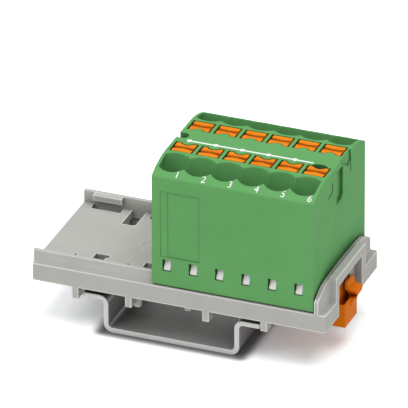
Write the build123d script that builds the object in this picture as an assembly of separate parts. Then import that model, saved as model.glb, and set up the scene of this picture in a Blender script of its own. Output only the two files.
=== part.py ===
from build123d import *

import math
import os

# A power distribution block with two rows of push-in terminals. It is snapped into the right
# bay of a two-bay rail adapter, which is clipped on a short length of 35 mm top hat rail.
# X runs across the rail, Y along it with -Y at the front, and Z up.
# The origin is the middle of the rail's underside. All lengths are in millimetres.

# Rail: 35 mm top hat rail, 7.5 mm high
RAIL_WIDTH = 35.0
HAT_WIDTH = 27.0
RAIL_HEIGHT = 7.5
RAIL_SHEET = 1.0
RAIL_BEND = 0.8
RAIL_LENGTH = 23.4

# Terminals: two rows of poles at a fixed pitch
POLES = 6
PITCH = 5.2
PARTITION = 1.0

# Block housing
BLOCK_DEPTH = 27.0
BLOCK_HEIGHT = 24.3
END_SHELL = 0.8
FRONT_SHELL = 1.1
BLOCK_SKIRT = 0.55
MIDDLE_WALL = 1.2
CROWN_FLAT = 6.0
CROWN_RADIUS = 15.5
CROWN_EDGE_ROUND = 0.6
CEILING_HEIGHT = 13.4

# Wire entries
ENTRY_FROM_EDGE = 4.05
WIRE_BORE_RADIUS = 1.5
WIRE_BORE_LENGTH = 3.4
FUNNEL_MOUTH = (3.26, 2.75)
FUNNEL_FLOOR = (2.0, 1.8)
FUNNEL_SET_OUT = 0.2
FUNNEL_SIDE_LAND = 0.6

# Release buttons
BUTTON_X = 3.85
BUTTON_Y = 3.3
BUTTON_FROM_EDGE = 9.05
BUTTON_SIDE_GAP = 0.35
BUTTON_END_GAP = 0.2
BUTTON_BELOW_TOP = 0.05
BUTTON_TRAVEL = 1.2
BUTTON_BODY_DEPTH = 6.0
BUTTON_HEEL = 0.3
BUTTON_HEEL_HEIGHT = 1.5
BUTTON_HEEL_DEPTH = 4.6
BUTTON_FOOT_X = 3.2
BUTTON_FOOT_Y = 2.0
BUTTON_CORNER = 0.2
NOTCH_WIDTH = 2.4
NOTCH_DEPTH = 0.7
GROOVE_HALF_WIDTH = 0.5
GROOVE_DEPTH = 0.35
GROOVE_FALL = 8.0
GROOVE_TURN = -10.0

# Recesses, test windows and label field on the housing
WINDOW_WIDTH = 1.65
WINDOW_HEIGHT = 2.4
WINDOW_LIFT = 2.9
EDGE_RECESS_RADIUS = 1.0
EDGE_RECESS_LENGTH = 2.1
EDGE_RECESS_DEPTH = 1.2
TOP_RECESS_RADIUS = 2.2
TOP_RECESS_REACH = 0.85
TOP_RECESS_DEPTH = 1.0
LABEL_FIELD_LEFT = 1.65
LABEL_FIELD_WIDTH = 7.75
LABEL_FIELD_LIFT = 5.85
LABEL_FIELD_HEIGHT = 13.6
LABEL_FIELD_DEPTH = 0.08
LABEL_STEP = 1.43
LABEL_STEP_DEPTH = 0.06

# Coupling on the right end of the housing: heights are measured down from the top
COUPLING_Y = (-1.5, 1.8)
COUPLING_DROP = 1.35
COUPLING_HEIGHT = 6.7
COUPLING_TAPER = 0.8
COUPLING_DEPTH = 0.6
RELIEF_Y = (0.6, 5.8)
RELIEF_DROP = (0.5, 2.95)
RELIEF_FOOT = 1.0
RELIEF_DEPTH = 0.3
SLIT = 0.35
SLIT_DEPTH = 0.3
REAR_SLIT_Y = 5.85
REAR_SLIT_DROP = (1.0, 4.65)
FRONT_SLIT_Y = (-3.6, -5.7)
FRONT_SLIT_DROP = (2.35, 4.1, 4.7)

# Busbar and clamp springs
COPPER = 0.7
BUSBAR_X = 3.4
BUSBAR_BRIDGE = 5.0
CONTACT_HEIGHT = 9.0
CONTACT_FROM_EDGE = 1.6
LUG_WIDTH = 1.3
LUG_STRIP = 0.5
LUG_RISE = 0.65
LUG_FROM_EDGE = 0.25
SPRING_STRIP = 0.4
SPRING_WIDTH = 3.4
SPRING_BOW = 1.5
SPRING_TIP_LIFT = 2.5

# Rail adapter
ADAPTER_LEFT = 26.9
ADAPTER_RIGHT = 31.3
ADAPTER_MARGIN = 0.3
SKIRT_ABOVE_RAIL = 1.9
SKIRT_HEIGHT = 3.5
SKIRT_WALL = 1.2
DECK = 1.5
LIP_WALL = 0.75
LIP_HEIGHT = 2.5
END_WALL = 0.8
END_WALL_SET_IN = 1.45
END_WALL_SHOULDER = 2.6
END_WALL_ARCH = 4.75
END_WALL_SLOPE = 3.5
END_WALL_CORNER_RISE = 4.3

# Frame that bridges the release latch
FRAME_Y = (-8.0, 7.4)
FRAME_FRONT_POST = 1.4
FRAME_REAR_POST = 1.9
FRAME_ABOVE_DECK = 4.85
FRAME_BAR = 1.8
CORNER_ROUND = 0.5

# Floor features of the adapter
HOLE_PITCH = 10.0
FIRST_HOLE = 11.2
FRONT_HOLE = (2.8, 2.1)
FRONT_HOLE_STEP = (0.5, 1.1)
FRONT_HOLE_FROM_LIP = 5.1
REAR_HOLE_X = 2.7
REAR_HOLE_LENGTH = 5.65
CATCH_FROM_CENTRE = (11.05, 22.85)
CATCH_LENGTH = 5.8
CATCH_REACH = 0.95
CATCH_UNDERSIDE = 1.15
CATCH_FACE = 1.1
CATCH_SLOT_REACH = 1.95
DIMPLE_RADIUS = 0.3
DIMPLE_DEPTH = 0.4
DIMPLES = ((-20.6, -7.7), (-10.0, -7.8))
RING_MARK = (-7.9, -0.2)
RING_RADIUS = 2.4
RING_WIDTH = 0.25
RING_DEPTH = 0.1

# Underside of the adapter
FOOT_DEPTH = 2.2
FOOT_WALL = 1.25
INNER_FOOT_X = 8.3
OUTER_FOOT_SET_OUT = 0.9
OUTER_FOOT_OVERLAP = 0.5
INNER_FOOT_DROP = 2.1
RIB = 1.0
STIFFENER_Y = 5.5
SUPPORT_RIB = 1.2
SUPPORT_RIB_INSET = 2.3
SUPPORT_RIB_FROM_EDGE = 4.7
HOOK_DROP = 3.8
HOOK_REACH = 1.3
HOOK_LENGTH = 3.0
HOOK_FROM_EDGE = 5.6
PEG_RADIUS = 1.05
PEG_TIP_RADIUS = 0.7
PEG_FROM_EDGE = 2.8
PEG_FIRST = 6.85
PEG_DROP = (2.95, 1.8)

# Release latch and its leaf spring
LATCH_Y = -0.3
LATCH_WIDTH = 6.2
LATCH_HEIGHT = 3.2
LATCH_WING = 0.8
LATCH_WING_HEIGHT = 0.8
LATCH_BOTTOM = 5.2
LATCH_TRAVEL = 2.2
LATCH_NOSE_REACH = 1.5
LATCH_TONGUE_REACH = 1.6
HEAD_RISE = 4.9
HEAD_WALL = 0.35
HEAD_LIP = 0.45
HEAD_LIP_RISE = 1.45
POCKET_FLOOR = 0.8
TAB_FRONT = 2.65
TAB_CORNER = 2.05
TAB_SHEET = 1.1
TAB_SHOULDER = 0.7
TAB_REACH = 1.2
TAB_ROOT_RISE = 0.7
TAB_UNDER_RISE = 1.95
TAB_EDGE_RISE = 3.05
TAB_CREASE_RISE = 3.5
LATCH_WINDOW = (20.5, 28.2)
LATCH_WINDOW_Y = 3.2
STOP_POST_X = (26.4, 27.4)
STOP_POST_Y = 2.2
LEAF_STRIP = 0.3
LEAF_HEIGHT = 2.0
LEAF_FOLDS = 4
LEAF_SWING = 1.1
LEAF_BEND = 0.35

# Clearances
SEAT_GAP = 0.05
RAIL_GAP = 0.15
SLIDE_GAP = 0.1
BLOCK_GAP = 0.1
END_GAP = 0.25
SKIRT_GAP = 0.35
PRESS_GAP = 0.1

# Heights that follow from the values above
SKIRT_BOTTOM = RAIL_HEIGHT + SKIRT_ABOVE_RAIL
DECK_TOP = SKIRT_BOTTOM + SKIRT_HEIGHT
DECK_UNDERSIDE = DECK_TOP - DECK
LIP_TOP = DECK_TOP + LIP_HEIGHT
BLOCK_BOTTOM = DECK_TOP + SKIRT_GAP
BLOCK_TOP = BLOCK_BOTTOM + BLOCK_HEIGHT
BASE_BOTTOM = DECK_TOP + SEAT_GAP
BASE_TOP = LIP_TOP + BLOCK_GAP
CHAMBER_FLOOR = BASE_TOP + SEAT_GAP
CHAMBER_CEILING = CHAMBER_FLOOR + CEILING_HEIGHT
CATCH_Z = DECK_TOP + CATCH_UNDERSIDE
LATCH_TOP = LATCH_BOTTOM + LATCH_HEIGHT

# Places along Y that follow
HALF_BLOCK = BLOCK_DEPTH / 2
HALF_ADAPTER = HALF_BLOCK + ADAPTER_MARGIN
LIP_OUTER = HALF_BLOCK - BLOCK_SKIRT - SEAT_GAP
LIP_INNER = LIP_OUTER - LIP_WALL
FRONT_HOLE_Y = FRONT_HOLE_FROM_LIP - LIP_INNER
HOOK_Y = HALF_ADAPTER - HOOK_FROM_EDGE
PEG_Y = HALF_ADAPTER - PEG_FROM_EDGE
SKIRT_INNER = LIP_OUTER + SEAT_GAP
ENTRY_Y = HALF_BLOCK - ENTRY_FROM_EDGE
FUNNEL_Y = ENTRY_Y + FUNNEL_SET_OUT
BUTTON_CENTRE_Y = HALF_BLOCK - BUTTON_FROM_EDGE
CONTACT_OUTER = HALF_BLOCK - CONTACT_FROM_EDGE
CONTACT_INNER = CONTACT_OUTER - COPPER
POCKET_INNER = BUTTON_CENTRE_Y - BUTTON_Y / 2 - BUTTON_END_GAP
LATCH_FRONT = LATCH_Y - LATCH_WIDTH / 2
LATCH_REAR = LATCH_Y + LATCH_WIDTH / 2

# Places along X that follow
END_WALL_INNER = ADAPTER_RIGHT - END_WALL_SET_IN - END_WALL
END_WALL_OUTER = END_WALL_INNER + END_WALL
BLOCK_WIDTH = POLES * PITCH - PARTITION + 2 * END_SHELL
BLOCK_RIGHT = END_WALL_INNER - END_GAP
BLOCK_LEFT = BLOCK_RIGHT - BLOCK_WIDTH
FIRST_POLE = BLOCK_LEFT + END_SHELL + (PITCH - PARTITION) / 2
POLE_X = [FIRST_POLE + PITCH * i for i in range(POLES)]
HALF_CHAMBER = (PITCH - PARTITION) / 2
BAY_CENTRE = (END_WALL_INNER - ADAPTER_LEFT) / 2
FLANGE_EDGE = RAIL_WIDTH / 2
HOOK_X = FLANGE_EDGE + RAIL_GAP
HEAD_BACK = END_WALL_INNER + SLIDE_GAP

# Heights of the button and spring parts
BUTTON_TOP = BLOCK_TOP - BUTTON_BELOW_TOP
HEEL_TOP = BUTTON_TOP - BUTTON_HEEL_DEPTH
WEB_BOTTOM = CHAMBER_FLOOR + SEAT_GAP
WEB_TOP = WEB_BOTTOM + COPPER
SPRING_BACK_Y = MIDDLE_WALL / 2 + SEAT_GAP + SPRING_STRIP / 2
SPRING_TIP_Y = CONTACT_INNER - PRESS_GAP - SPRING_STRIP / 2
SPRING_TIP_Z = WEB_TOP + SPRING_TIP_LIFT
SPRING_PEAK_Z = CHAMBER_CEILING + 1.1


def slab(x, y, z):
    """A rectangular solid between two values on each axis."""
    centre = [sum(pair) / 2 for pair in (x, y, z)]
    size = [pair[1] - pair[0] for pair in (x, y, z)]
    return Pos(*centre) * Box(*size)


def both_sides(solid):
    """The solid and its mirror image front to back."""
    return solid + mirror(solid, about=Plane.XZ)


def across(profile, length):
    """A profile drawn in X and Z, extruded the same way to both sides along Y."""
    return extrude(Plane.XZ * profile, amount=length / 2, both=True)


def along_x(profile, start, end):
    """A profile drawn in Y and Z, extruded along X from start to end."""
    return extrude(Plane.YZ.offset(start) * profile, amount=end - start)


# Rail
def rail_section():
    middle = RAIL_SHEET / 2
    web = HAT_WIDTH / 2 - middle
    top = RAIL_HEIGHT - middle
    edge = RAIL_WIDTH / 2
    path = FilletPolyline(
        (-edge, top),
        (-web, top),
        (-web, middle),
        (web, middle),
        (web, top),
        (edge, top),
        radius=RAIL_BEND + middle,
    )
    return across(trace(path, line_width=RAIL_SHEET), RAIL_LENGTH)


# Adapter: deck, skirt, lips and end wall
def deck_and_skirt():
    left = -ADAPTER_LEFT
    right = ADAPTER_RIGHT
    y = (-HALF_ADAPTER, HALF_ADAPTER)
    inner = HALF_ADAPTER - SKIRT_WALL
    body = slab((left, right), y, (SKIRT_BOTTOM, DECK_TOP))
    body = fillet(body.edges().filter_by(Axis.Z), CORNER_ROUND)
    hollow = slab((left + SKIRT_WALL, END_WALL_INNER), (-inner, inner), (SKIRT_BOTTOM, DECK_UNDERSIDE))
    return body - hollow


def side_lip():
    wall = slab((-ADAPTER_LEFT, END_WALL_INNER), (-LIP_OUTER, -LIP_INNER), (DECK_TOP, LIP_TOP))
    return fillet(wall.edges().group_by(Axis.Z)[-1].filter_by(Axis.X), 0.15)


def end_wall():
    half = HALF_ADAPTER
    shoulder = DECK_TOP + END_WALL_SHOULDER
    flat = half - END_WALL_SLOPE
    flat_z = DECK_TOP + END_WALL_CORNER_RISE
    arch = DECK_TOP + END_WALL_ARCH
    outline = Polyline(
        (-flat, flat_z),
        (-half, shoulder),
        (-half, SKIRT_BOTTOM),
        (half, SKIRT_BOTTOM),
        (half, shoulder),
        (flat, flat_z),
    )
    outline += ThreePointArc((flat, flat_z), (0, arch), (-flat, flat_z))
    face = make_face(outline)
    shoulders = face.vertices().filter_by(lambda v: v.Y > DECK_TOP)
    face = fillet(shoulders.group_by(Axis.Y)[-1], 1.5)
    face = fillet(face.vertices().filter_by(lambda v: abs(v.Y - shoulder) < 0.01), 0.5)
    return along_x(face, END_WALL_INNER, END_WALL_OUTER)


def latch_frame():
    top = DECK_TOP + FRAME_ABOVE_DECK
    outer = slab((END_WALL_OUTER, ADAPTER_RIGHT), FRAME_Y, (SKIRT_BOTTOM, top))
    return fillet(outer.edges().filter_by(Axis.X).group_by(Axis.Z)[-1], CORNER_ROUND)


def latch_frame_window():
    front, rear = FRAME_Y
    y = (front + FRAME_FRONT_POST, rear - FRAME_REAR_POST)
    top = DECK_TOP + FRAME_ABOVE_DECK - FRAME_BAR
    return slab((END_WALL_OUTER, ADAPTER_RIGHT + 1), y, (SKIRT_BOTTOM - 1, top))


def latch_head_window():
    y = (LATCH_FRONT - SLIDE_GAP, LATCH_REAR + SLIDE_GAP)
    z = (SKIRT_BOTTOM - 1, LATCH_TOP + HEAD_RISE + SLIDE_GAP)
    return slab((END_WALL_INNER, END_WALL_OUTER), y, z)


# Adapter: what catches the blocks in the two bays
def catch(x):
    wall = LIP_INNER
    face_y = wall - CATCH_REACH
    face_top = CATCH_Z + CATCH_FACE
    outline = Polyline(
        (wall, CATCH_Z),
        (face_y, CATCH_Z),
        (face_y, face_top),
        (wall, LIP_TOP),
        close=True,
    )
    return along_x(make_face(outline), x - CATCH_LENGTH / 2, x + CATCH_LENGTH / 2)


def catch_slot(x):
    half = CATCH_LENGTH / 2 + SLIDE_GAP
    z = (SKIRT_BOTTOM - 1, DECK_TOP + 1)
    return slab((x - half, x + half), (LIP_INNER - CATCH_SLOT_REACH, LIP_INNER), z)


def front_hole(x):
    wide, deep = FRONT_HOLE
    step_x, step_y = FRONT_HOLE_STEP
    z = (RAIL_HEIGHT, DECK_TOP + 1)
    low = FRONT_HOLE_Y - deep / 2
    hole = slab((x - wide / 2, x + wide / 2), (low + step_y, low + deep), z)
    return hole + slab((x - wide / 2, x + wide / 2 - step_x), (low, low + deep), z)


def rear_hole(x):
    half = REAR_HOLE_X / 2
    y = (LIP_INNER - REAR_HOLE_LENGTH, LIP_INNER)
    return slab((x - half, x + half), y, (RAIL_HEIGHT, DECK_TOP + 1))


def front_hole_places():
    first = -ADAPTER_LEFT + FIRST_HOLE
    count = int((END_WALL_INNER - first) / HOLE_PITCH) + 1
    return [first + HOLE_PITCH * i for i in range(count)]


def catch_places():
    return [BAY_CENTRE + side * reach for reach in CATCH_FROM_CENTRE for side in (-1, 1)]


# Adapter: what grips and stands on the rail
def foot(x, bottom):
    z = (bottom, DECK_UNDERSIDE)
    return both_sides(slab(x, (-HALF_ADAPTER, -HALF_ADAPTER + FOOT_DEPTH), z))


def fixed_hook():
    outer = HOOK_X + FOOT_WALL
    bottom = SKIRT_BOTTOM - HOOK_DROP
    lip_top = RAIL_HEIGHT - RAIL_SHEET - RAIL_GAP
    reach = FLANGE_EDGE - HOOK_REACH
    outline = Polyline(
        (-outer, DECK_UNDERSIDE),
        (-outer, bottom),
        (-HOOK_X, bottom),
        (-reach, lip_top - 0.4),
        (-reach, lip_top),
        (-HOOK_X, lip_top),
        (-HOOK_X, DECK_UNDERSIDE),
        close=True,
    )
    hook = across(make_face(outline), HOOK_LENGTH)
    return both_sides(Pos(0, -HOOK_Y, 0) * hook)


def support_ribs():
    inner = FLANGE_EDGE - SUPPORT_RIB_INSET - SUPPORT_RIB / 2
    end = HALF_ADAPTER - SUPPORT_RIB_FROM_EDGE
    z = (RAIL_HEIGHT + SEAT_GAP, DECK_UNDERSIDE)
    rib = slab((inner, inner + SUPPORT_RIB), (-end, end), z)
    return rib + mirror(rib, about=Plane.YZ)


def stiffening_ribs():
    z = (SKIRT_BOTTOM, DECK_UNDERSIDE)
    y = (-HALF_ADAPTER + SKIRT_WALL, HALF_ADAPTER - SKIRT_WALL)
    x = (-ADAPTER_LEFT + SKIRT_WALL, END_WALL_INNER)
    ribs = slab((-RIB / 2, RIB / 2), y, z)
    stiffener = slab(x, (-STIFFENER_Y - RIB / 2, -STIFFENER_Y + RIB / 2), z)
    return ribs + both_sides(stiffener)


def latch_guides():
    outer = LATCH_WIDTH / 2 + LATCH_WING + SLIDE_GAP
    inner = LATCH_WIDTH / 2 + SLIDE_GAP
    wing_bottom = LATCH_TOP - LATCH_WING_HEIGHT
    start = HOOK_X + OUTER_FOOT_SET_OUT + FOOT_WALL
    top = LATCH_TOP + SLIDE_GAP
    outline = Polyline(
        (outer, top),
        (outer, wing_bottom - SLIDE_GAP),
        (inner, wing_bottom - SLIDE_GAP),
        (inner, wing_bottom - SLIDE_GAP - RIB),
        (outer + RIB, wing_bottom - SLIDE_GAP - RIB),
        (outer + RIB, DECK_UNDERSIDE),
        (outer - RIB, DECK_UNDERSIDE),
        (outer - RIB, top),
        close=True,
    )
    guide = along_x(make_face(outline), start, END_WALL_INNER)
    return Pos(0, LATCH_Y, 0) * (guide + mirror(guide, about=Plane.XZ))


def stop_post():
    y = (LATCH_Y - STOP_POST_Y / 2, LATCH_Y + STOP_POST_Y / 2)
    return slab(STOP_POST_X, y, (LATCH_BOTTOM + 0.6, DECK_UNDERSIDE))


def peg(x, drop):
    bottom = SKIRT_BOTTOM - drop
    height = DECK_UNDERSIDE - bottom
    return both_sides(Pos(x, -PEG_Y, bottom + height / 2) * Cone(PEG_TIP_RADIUS, PEG_RADIUS, height))


def floor_marks():
    marks = [Pos(x, y, DECK_TOP) * Cylinder(DIMPLE_RADIUS, 2 * DIMPLE_DEPTH) for x, y in DIMPLES]
    ring = Circle(RING_RADIUS + RING_WIDTH / 2) - Circle(RING_RADIUS - RING_WIDTH / 2)
    marks.append(Pos(*RING_MARK, DECK_TOP - RING_DEPTH) * extrude(ring, amount=1))
    return marks


def rail_adapter():
    body = deck_and_skirt() + both_sides(side_lip()) + end_wall() + latch_frame()
    body += support_ribs() + stiffening_ribs() + latch_guides() + stop_post()
    body += fixed_hook()
    body += [peg(HOLE_PITCH * i - PEG_FIRST, drop) for i, drop in enumerate(PEG_DROP)]
    body += foot((-HOOK_X - FOOT_WALL, -HOOK_X), RAIL_HEIGHT - OUTER_FOOT_OVERLAP)
    right_foot = HOOK_X + OUTER_FOOT_SET_OUT
    body += foot((right_foot, right_foot + FOOT_WALL), RAIL_HEIGHT)
    for side in (-1, 1):
        edges = sorted((side * INNER_FOOT_X, side * (INNER_FOOT_X - FOOT_WALL)))
        body += foot(edges, SKIRT_BOTTOM - INNER_FOOT_DROP)
    body -= [latch_frame_window(), latch_head_window()]
    body -= floor_marks()
    body -= [front_hole(x) for x in front_hole_places()]
    body -= [rear_hole(x) for x in front_hole_places()[::2]]
    body -= [catch_slot(x) for x in catch_places()]
    body += [catch(x) for x in catch_places()]
    return body


# Release latch
def release_latch():
    half = LATCH_WIDTH / 2
    top = LATCH_TOP
    mouth = FLANGE_EDGE + RAIL_GAP
    nose_top = RAIL_HEIGHT - RAIL_SHEET - RAIL_GAP
    body = slab((mouth, ADAPTER_RIGHT), (-half, half), (LATCH_BOTTOM, top))
    wings = slab(
        (mouth, END_WALL_INNER - SLIDE_GAP),
        (-half - LATCH_WING, half + LATCH_WING),
        (top - LATCH_WING_HEIGHT, top),
    )
    nose_outline = Polyline(
        (mouth, LATCH_BOTTOM),
        (mouth - LATCH_NOSE_REACH, nose_top - 0.4),
        (mouth - LATCH_NOSE_REACH, nose_top),
        (mouth, nose_top),
        close=True,
    )
    nose = across(make_face(nose_outline), LATCH_WIDTH)
    tongue = slab((mouth - LATCH_TONGUE_REACH, mouth), (-half, half), (RAIL_HEIGHT + SLIDE_GAP, top))
    y = (-LATCH_WINDOW_Y / 2, LATCH_WINDOW_Y / 2)
    window = slab(LATCH_WINDOW, y, (LATCH_BOTTOM - 1, top + 1))
    body = body + wings + nose + tongue - window
    return Pos(0, LATCH_Y, 0) * body + latch_head() - screwdriver_pocket()


def latch_head():
    """The upright that shows in the frame's window: a screwdriver pocket beside a flared finger tab."""
    crest = LATCH_TOP + HEAD_RISE
    rim = LATCH_TOP + HEAD_LIP_RISE
    y = (LATCH_FRONT, LATCH_REAR)
    cup = slab((HEAD_BACK, ADAPTER_RIGHT), y, (LATCH_TOP - 1, rim))
    wall = slab((HEAD_BACK, HEAD_BACK + HEAD_WALL), y, (LATCH_TOP, crest))
    return cup + wall + finger_tab(crest)


def finger_tab(crest):
    sheet = ADAPTER_RIGHT - TAB_SHEET
    outline = Polyline(
        (sheet, LATCH_TOP - 0.5),
        (ADAPTER_RIGHT, LATCH_TOP - 0.5),
        (ADAPTER_RIGHT + 0.2, LATCH_TOP + TAB_ROOT_RISE),
        (ADAPTER_RIGHT + TAB_REACH - 0.2, LATCH_TOP + TAB_UNDER_RISE),
        (ADAPTER_RIGHT + TAB_REACH, LATCH_TOP + TAB_EDGE_RISE),
        (ADAPTER_RIGHT - 0.3, LATCH_TOP + TAB_CREASE_RISE),
        (ADAPTER_RIGHT - TAB_SHOULDER, crest),
        (sheet, crest),
        close=True,
    )
    front = LATCH_FRONT + TAB_FRONT
    middle = (front + LATCH_REAR) / 2
    corner = Polyline(
        (front - 1, LATCH_TOP + TAB_CREASE_RISE),
        (front, LATCH_TOP + TAB_CREASE_RISE),
        (front + TAB_CORNER, LATCH_TOP + HEAD_LIP_RISE),
        (front - 1, LATCH_TOP + HEAD_LIP_RISE),
        close=True,
    )
    tab = Pos(0, middle, 0) * across(make_face(outline), LATCH_REAR - front)
    return tab - along_x(make_face(corner), sheet - 1, ADAPTER_RIGHT + TAB_REACH + 1)


def screwdriver_pocket():
    y = (LATCH_FRONT + HEAD_WALL, LATCH_REAR - HEAD_WALL)
    z = (LATCH_BOTTOM + POCKET_FLOOR, LATCH_TOP + HEAD_LIP_RISE + 1)
    inner = HEAD_BACK + HEAD_WALL
    behind_tab = slab((inner, ADAPTER_RIGHT - TAB_SHEET), y, z)
    beside_y = (y[0], LATCH_FRONT + TAB_FRONT + TAB_CORNER)
    beside_z = (z[0], LATCH_TOP + HEAD_LIP_RISE)
    beside_tab = slab((inner, ADAPTER_RIGHT - HEAD_LIP), beside_y, beside_z)
    return behind_tab + beside_tab


def latch_spring():
    start = LATCH_WINDOW[0] + SEAT_GAP + LEAF_STRIP / 2
    end = STOP_POST_X[0] - SEAT_GAP - LEAF_STRIP / 2
    step = (end - start) / LEAF_FOLDS
    side = 1
    points = [(start, LATCH_Y - LEAF_SWING)]
    for i in range(LEAF_FOLDS):
        points.append((start + step * i, LATCH_Y + side * LEAF_SWING))
        points.append((start + step * (i + 1), LATCH_Y + side * LEAF_SWING))
        side = -side
    points.append((end, LATCH_Y + side * LEAF_SWING))
    strip = trace(FilletPolyline(*points, radius=LEAF_BEND), line_width=LEAF_STRIP)
    middle = LATCH_BOTTOM + LATCH_HEIGHT / 2
    return Pos(0, 0, middle - LEAF_HEIGHT / 2) * extrude(strip, amount=LEAF_HEIGHT)


# Block housing
def crowned_block():
    half = HALF_BLOCK
    reach = half - CROWN_FLAT
    edge_z = BLOCK_TOP - CROWN_RADIUS + math.sqrt(CROWN_RADIUS**2 - reach**2)
    half_reach = reach / 2
    middle_z = BLOCK_TOP - CROWN_RADIUS + math.sqrt(CROWN_RADIUS**2 - half_reach**2)
    outline = Polyline((-half, edge_z), (-half, BLOCK_BOTTOM), (half, BLOCK_BOTTOM), (half, edge_z))
    outline += ThreePointArc((half, edge_z), (CROWN_FLAT + half_reach, middle_z), (CROWN_FLAT, BLOCK_TOP))
    outline += Line((CROWN_FLAT, BLOCK_TOP), (-CROWN_FLAT, BLOCK_TOP))
    outline += ThreePointArc((-CROWN_FLAT, BLOCK_TOP), (-CROWN_FLAT - half_reach, middle_z), (-half, edge_z))
    face = make_face(outline)
    shoulders = face.vertices().filter_by(lambda v: abs(v.Y - edge_z) < 0.01)
    face = fillet(shoulders, CROWN_EDGE_ROUND)
    return along_x(face, BLOCK_LEFT, BLOCK_RIGHT)


def base_cavity():
    x = (BLOCK_LEFT + END_SHELL, BLOCK_RIGHT - END_SHELL)
    z = (BLOCK_BOTTOM - 1, CHAMBER_FLOOR)
    cavity = slab(x, (-SKIRT_INNER, SKIRT_INNER), z)
    ends = (BLOCK_LEFT - 1, BLOCK_RIGHT + 1)
    notch = slab(ends, (-SKIRT_INNER, -LIP_INNER + SEAT_GAP), z)
    bridge_gap = slab(x, (-BUSBAR_BRIDGE / 2 - 0.3, BUSBAR_BRIDGE / 2 + 0.3), (CHAMBER_FLOOR, WEB_TOP + SEAT_GAP))
    return [cavity, both_sides(notch), bridge_gap]


def chamber(x):
    y = (-HALF_BLOCK + FRONT_SHELL, -MIDDLE_WALL / 2)
    return slab((x - HALF_CHAMBER, x + HALF_CHAMBER), y, (CHAMBER_FLOOR - 0.5, CHAMBER_CEILING))


def wire_entry(x):
    funnel_floor = CHAMBER_CEILING + WIRE_BORE_LENGTH
    length = funnel_floor - CHAMBER_CEILING + 1
    bore = Pos(x, -ENTRY_Y, funnel_floor - length / 2) * Cylinder(WIRE_BORE_RADIUS, length)
    bottom = Pos(x, -FUNNEL_Y, funnel_floor) * Ellipse(*FUNNEL_FLOOR)
    mouth = Pos(x, -FUNNEL_Y, BLOCK_TOP) * Ellipse(*FUNNEL_MOUTH)
    funnel = loft(Sketch() + [bottom, mouth], ruled=True)
    inside = (BLOCK_LEFT + FUNNEL_SIDE_LAND, BLOCK_RIGHT - FUNNEL_SIDE_LAND)
    funnel &= slab(inside, (-HALF_BLOCK, 0), (funnel_floor, BLOCK_TOP + 1))
    return bore + funnel


def button_pocket(x):
    """The shaft of a button, with a rib that runs in the button's notch, and room for its heel."""
    half_x = BUTTON_X / 2 + BUTTON_SIDE_GAP
    outer = BUTTON_CENTRE_Y + BUTTON_Y / 2 + BUTTON_END_GAP
    bottom = CHAMBER_CEILING - 0.5
    heel_ceiling = HEEL_TOP + SEAT_GAP
    rib_height = BLOCK_TOP + 1 - heel_ceiling
    shaft = slab((x - half_x, x + half_x), (-outer, -POCKET_INNER), (bottom, BLOCK_TOP + 1))
    centre, radius = notch_circle()
    rib = Pos(x, centre, heel_ceiling + rib_height / 2) * Cylinder(radius - BUTTON_END_GAP, rib_height)
    heel_y = (-outer, -POCKET_INNER + BUTTON_HEEL)
    return shaft - rib + slab((x - half_x, x + half_x), heel_y, (bottom, heel_ceiling))


def notch_circle():
    """Centre along Y and radius of the notch in the button edge that faces the other row."""
    radius = (NOTCH_WIDTH**2 / 4 + NOTCH_DEPTH**2) / (2 * NOTCH_DEPTH)
    return -BUTTON_CENTRE_Y + BUTTON_Y / 2 + radius - NOTCH_DEPTH, radius


def test_window(x):
    half = WINDOW_WIDTH / 2
    low = BLOCK_BOTTOM + WINDOW_LIFT
    y = (-HALF_BLOCK - 1, -HALF_BLOCK + FRONT_SHELL + 0.5)
    return slab((x - half, x + half), y, (low, low + WINDOW_HEIGHT))


def edge_recess():
    end = BLOCK_LEFT + EDGE_RECESS_LENGTH - EDGE_RECESS_RADIUS
    z = (BLOCK_TOP - EDGE_RECESS_DEPTH, BLOCK_TOP + EDGE_RECESS_DEPTH)
    y = (-EDGE_RECESS_RADIUS, EDGE_RECESS_RADIUS)
    slot = slab((BLOCK_LEFT - 1, end), y, z)
    return slot + Pos(end, 0, BLOCK_TOP) * Cylinder(EDGE_RECESS_RADIUS, 2 * EDGE_RECESS_DEPTH)


def top_recess():
    centre = -POCKET_INNER + TOP_RECESS_REACH - TOP_RECESS_RADIUS
    return Pos(POLE_X[-1], centre, BLOCK_TOP) * Cylinder(TOP_RECESS_RADIUS, 2 * TOP_RECESS_DEPTH)


def label_field():
    """A shallow field for a label on the front, a little deeper past its left margin."""
    left = BLOCK_LEFT + LABEL_FIELD_LEFT
    right = left + LABEL_FIELD_WIDTH
    low = BLOCK_BOTTOM + LABEL_FIELD_LIFT
    z = (low, low + LABEL_FIELD_HEIGHT)
    front = -HALF_BLOCK - 1
    field = slab((left, right), (front, -HALF_BLOCK + LABEL_FIELD_DEPTH), z)
    step_y = (front, -HALF_BLOCK + LABEL_FIELD_DEPTH + LABEL_STEP_DEPTH)
    return field + slab((left + LABEL_STEP, right), step_y, z)


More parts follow.
